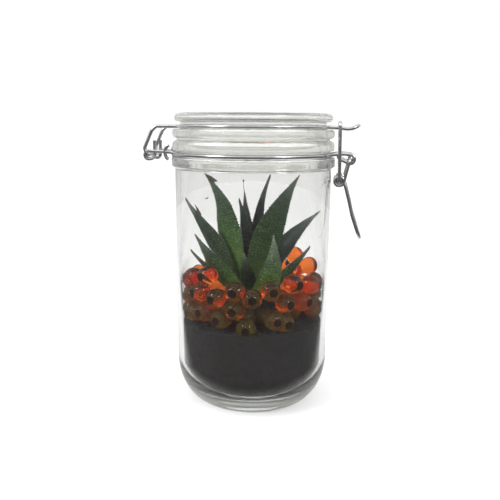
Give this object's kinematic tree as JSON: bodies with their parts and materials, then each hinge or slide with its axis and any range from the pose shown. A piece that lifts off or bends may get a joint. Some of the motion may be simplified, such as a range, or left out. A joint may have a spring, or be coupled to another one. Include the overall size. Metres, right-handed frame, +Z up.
{
  "type": "glass plant terrarium",
  "caption": "Clip-top glass jar terrarium with a striped succulent rosette rooted in dark soil under a ring of orange gel beads; hinged glass lid with wire clasp.",
  "frame": {"origin": "centre of the jar's foot on the surface it stands on", "axes": "+Z up along the jar's axis, +X towards the clasp, -X towards the lid hinge"},
  "size_m": [0.1408, 0.1042, 0.1883],
  "materials": {
    "clear_glass": "clear, smooth",
    "steel_wire": "drawn wire, satin",
    "pale_rubber": "translucent silicone",
    "soil": "dark damp potting mix",
    "gel_beads": "translucent wet gel",
    "pale_stem": "matte plant tissue",
    "leaf_green": "satin leaf with pale raised bands"
  },
  "bodies": {
    "jar": {"jar_glass": "clear_glass", "neck_wire": "steel_wire", "soil": "soil", "bead_bed": "gel_beads", "haworthia_stem": "pale_stem", "haworthia_leaf_01": "leaf_green", "haworthia_leaf_02": "leaf_green", "haworthia_leaf_03": "leaf_green", "haworthia_leaf_04": "leaf_green", "haworthia_leaf_05": "leaf_green", "haworthia_leaf_06": "leaf_green", "haworthia_leaf_07": "leaf_green", "haworthia_leaf_08": "leaf_green", "haworthia_leaf_09": "leaf_green", "haworthia_leaf_10": "leaf_green", "haworthia_leaf_11": "leaf_green", "haworthia_leaf_12": "leaf_green", "haworthia_leaf_13": "leaf_green", "haworthia_leaf_14": "leaf_green", "haworthia_leaf_15": "leaf_green", "haworthia_leaf_16": "leaf_green"},
    "lid": {"lid_glass": "clear_glass", "lid_gasket": "pale_rubber", "lid_wire": "steel_wire"},
    "lever": {"clasp_lever": "steel_wire"},
    "link": {"clasp_link": "steel_wire"}
  },
  "joints": [
    {"name": "lid_hinge", "type": "hinge", "parent": "jar", "child": "lid", "pos_m": [-0.06685, 0, 0.1618], "axis": [0, -1, 0], "range_deg": [0, 110]},
    {"name": "clasp_lever_hinge", "type": "hinge", "parent": "jar", "child": "lever", "pos_m": [0.0612, 0, 0.1609], "axis": [0, -1, 0], "range_deg": [0, 120]},
    {"name": "clasp_link_hinge", "type": "hinge", "parent": "lever", "child": "link", "pos_m": [0.0552, 0, 0.1475], "axis": [0, -1, 0], "range_deg": [-108, 0]}
  ],
  "couplings": [
    {"joint": "clasp_link_hinge", "follows": "clasp_lever_hinge", "ratio": -0.9}
  ]
}
